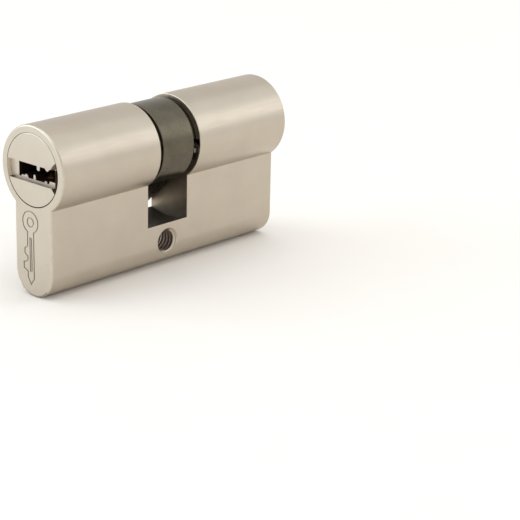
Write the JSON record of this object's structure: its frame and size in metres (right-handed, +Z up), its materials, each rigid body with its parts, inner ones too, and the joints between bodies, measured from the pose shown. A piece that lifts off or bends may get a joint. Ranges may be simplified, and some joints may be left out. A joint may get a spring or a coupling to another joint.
{
  "type": "euro profile lock cylinder",
  "caption": "Double euro profile lock cylinder with horizontal keyways, turning plugs, a cam in a central slot and spring-loaded pin stacks.",
  "frame": {"origin": "on the cylinder axis at mid-length, in the middle of the cam slot and above the fixing screw hole", "axes": "+X along the cylinder axis from the front keyhole face to the rear one, +Y toward the side the cam points to, +Z up, with the flange hanging toward -Z"},
  "size_m": [0.06, 0.0182, 0.033],
  "materials": {
    "satin_nickel": "satin nickel plate over brass, fine lengthwise grain on the rounds",
    "plug_nickel": "satin nickel plate over brass, faced flat",
    "sintered_steel": "dark sintered steel, fine pores",
    "spring_steel": "oiled spring steel",
    "pin_brass": "turned brass",
    "pin_steel": "turned steel",
    "cap_nickel": "satin nickel plate over brass"
  },
  "bodies": {
    "housing": {"cylinder_body": "satin_nickel", "front_pin_spring_1": "spring_steel", "front_chamber_cap_1": "cap_nickel", "front_pin_spring_2": "spring_steel", "front_chamber_cap_2": "cap_nickel", "front_pin_spring_3": "spring_steel", "front_chamber_cap_3": "cap_nickel", "front_pin_spring_4": "spring_steel", "front_chamber_cap_4": "cap_nickel", "front_pin_spring_5": "spring_steel", "front_chamber_cap_5": "cap_nickel", "rear_pin_spring_1": "spring_steel", "rear_chamber_cap_1": "cap_nickel", "rear_pin_spring_2": "spring_steel", "rear_chamber_cap_2": "cap_nickel", "rear_pin_spring_3": "spring_steel", "rear_chamber_cap_3": "cap_nickel", "rear_pin_spring_4": "spring_steel", "rear_chamber_cap_4": "cap_nickel", "rear_pin_spring_5": "spring_steel", "rear_chamber_cap_5": "cap_nickel"},
    "front_core": {"front_plug": "plug_nickel", "front_retaining_clip": "spring_steel"},
    "rear_core": {"rear_plug": "plug_nickel", "rear_retaining_clip": "spring_steel"},
    "cam": {"cam": "sintered_steel"},
    "clutch": {"clutch": "pin_steel"},
    "front_key_pin_1": {"front_key_pin_1": "pin_brass"},
    "front_driver_pin_1": {"front_driver_pin_1": "pin_steel"},
    "front_key_pin_2": {"front_key_pin_2": "pin_brass"},
    "front_driver_pin_2": {"front_driver_pin_2": "pin_steel"},
    "front_key_pin_3": {"front_key_pin_3": "pin_brass"},
    "front_driver_pin_3": {"front_driver_pin_3": "pin_steel"},
    "front_key_pin_4": {"front_key_pin_4": "pin_brass"},
    "front_driver_pin_4": {"front_driver_pin_4": "pin_steel"},
    "front_key_pin_5": {"front_key_pin_5": "pin_brass"},
    "front_driver_pin_5": {"front_driver_pin_5": "pin_steel"},
    "rear_key_pin_1": {"rear_key_pin_1": "pin_brass"},
    "rear_driver_pin_1": {"rear_driver_pin_1": "pin_steel"},
    "rear_key_pin_2": {"rear_key_pin_2": "pin_brass"},
    "rear_driver_pin_2": {"rear_driver_pin_2": "pin_steel"},
    "rear_key_pin_3": {"rear_key_pin_3": "pin_brass"},
    "rear_driver_pin_3": {"rear_driver_pin_3": "pin_steel"},
    "rear_key_pin_4": {"rear_key_pin_4": "pin_brass"},
    "rear_driver_pin_4": {"rear_driver_pin_4": "pin_steel"},
    "rear_key_pin_5": {"rear_key_pin_5": "pin_brass"},
    "rear_driver_pin_5": {"rear_driver_pin_5": "pin_steel"}
  },
  "joints": [
    {"name": "front_plug_turn", "type": "hinge", "parent": "housing", "child": "front_core", "pos_m": [0, 0, 0], "axis": [1, 0, 0], "continuous": true},
    {"name": "rear_plug_turn", "type": "hinge", "parent": "housing", "child": "rear_core", "pos_m": [0, 0, 0], "axis": [1, 0, 0], "continuous": true},
    {"name": "cam_turn", "type": "hinge", "parent": "housing", "child": "cam", "pos_m": [0, 0, 0], "axis": [1, 0, 0], "continuous": true},
    {"name": "clutch_shift", "type": "slide", "parent": "cam", "child": "clutch", "axis": [1, 0, 0], "range_m": [0, 0.0012], "stiffness_N_per_m": 100, "springref_m": -0.003},
    {"name": "front_key_pin_1_slide", "type": "slide", "parent": "front_core", "child": "front_key_pin_1", "axis": [0, 0, 1], "range_m": [0, 0.0005]},
    {"name": "front_driver_pin_1_slide", "type": "slide", "parent": "housing", "child": "front_driver_pin_1", "axis": [0, 0, 1], "range_m": [-0.0012, 0], "stiffness_N_per_m": 100, "springref_m": 0.003, "deforming": ["front_pin_spring_1"]},
    {"name": "front_key_pin_2_slide", "type": "slide", "parent": "front_core", "child": "front_key_pin_2", "axis": [0, 0, 1], "range_m": [0, 0.0005]},
    {"name": "front_driver_pin_2_slide", "type": "slide", "parent": "housing", "child": "front_driver_pin_2", "axis": [0, 0, 1], "range_m": [-0.0012, 0], "stiffness_N_per_m": 100, "springref_m": 0.003, "deforming": ["front_pin_spring_2"]},
    {"name": "front_key_pin_3_slide", "type": "slide", "parent": "front_core", "child": "front_key_pin_3", "axis": [0, 0, 1], "range_m": [0, 0.0005]},
    {"name": "front_driver_pin_3_slide", "type": "slide", "parent": "housing", "child": "front_driver_pin_3", "axis": [0, 0, 1], "range_m": [-0.0012, 0], "stiffness_N_per_m": 100, "springref_m": 0.003, "deforming": ["front_pin_spring_3"]},
    {"name": "front_key_pin_4_slide", "type": "slide", "parent": "front_core", "child": "front_key_pin_4", "axis": [0, 0, 1], "range_m": [0, 0.0005]},
    {"name": "front_driver_pin_4_slide", "type": "slide", "parent": "housing", "child": "front_driver_pin_4", "axis": [0, 0, 1], "range_m": [-0.0012, 0], "stiffness_N_per_m": 100, "springref_m": 0.003, "deforming": ["front_pin_spring_4"]},
    {"name": "front_key_pin_5_slide", "type": "slide", "parent": "front_core", "child": "front_key_pin_5", "axis": [0, 0, 1], "range_m": [0, 0.0005]},
    {"name": "front_driver_pin_5_slide", "type": "slide", "parent": "housing", "child": "front_driver_pin_5", "axis": [0, 0, 1], "range_m": [-0.0012, 0], "stiffness_N_per_m": 100, "springref_m": 0.003, "deforming": ["front_pin_spring_5"]},
    {"name": "rear_key_pin_1_slide", "type": "slide", "parent": "rear_core", "child": "rear_key_pin_1", "axis": [0, 0, 1], "range_m": [0, 0.0005]},
    {"name": "rear_driver_pin_1_slide", "type": "slide", "parent": "housing", "child": "rear_driver_pin_1", "axis": [0, 0, 1], "range_m": [-0.0012, 0], "stiffness_N_per_m": 100, "springref_m": 0.003, "deforming": ["rear_pin_spring_1"]},
    {"name": "rear_key_pin_2_slide", "type": "slide", "parent": "rear_core", "child": "rear_key_pin_2", "axis": [0, 0, 1], "range_m": [0, 0.0005]},
    {"name": "rear_driver_pin_2_slide", "type": "slide", "parent": "housing", "child": "rear_driver_pin_2", "axis": [0, 0, 1], "range_m": [-0.0012, 0], "stiffness_N_per_m": 100, "springref_m": 0.003, "deforming": ["rear_pin_spring_2"]},
    {"name": "rear_key_pin_3_slide", "type": "slide", "parent": "rear_core", "child": "rear_key_pin_3", "axis": [0, 0, 1], "range_m": [0, 0.0005]},
    {"name": "rear_driver_pin_3_slide", "type": "slide", "parent": "housing", "child": "rear_driver_pin_3", "axis": [0, 0, 1], "range_m": [-0.0012, 0], "stiffness_N_per_m": 100, "springref_m": 0.003, "deforming": ["rear_pin_spring_3"]},
    {"name": "rear_key_pin_4_slide", "type": "slide", "parent": "rear_core", "child": "rear_key_pin_4", "axis": [0, 0, 1], "range_m": [0, 0.0005]},
    {"name": "rear_driver_pin_4_slide", "type": "slide", "parent": "housing", "child": "rear_driver_pin_4", "axis": [0, 0, 1], "range_m": [-0.0012, 0], "stiffness_N_per_m": 100, "springref_m": 0.003, "deforming": ["rear_pin_spring_4"]},
    {"name": "rear_key_pin_5_slide", "type": "slide", "parent": "rear_core", "child": "rear_key_pin_5", "axis": [0, 0, 1], "range_m": [0, 0.0005]},
    {"name": "rear_driver_pin_5_slide", "type": "slide", "parent": "housing", "child": "rear_driver_pin_5", "axis": [0, 0, 1], "range_m": [-0.0012, 0], "stiffness_N_per_m": 100, "springref_m": 0.003, "deforming": ["rear_pin_spring_5"]}
  ],
  "couplings": [
    {"joint": "cam_turn", "follows": "front_plug_turn", "ratio": 1}
  ]
}
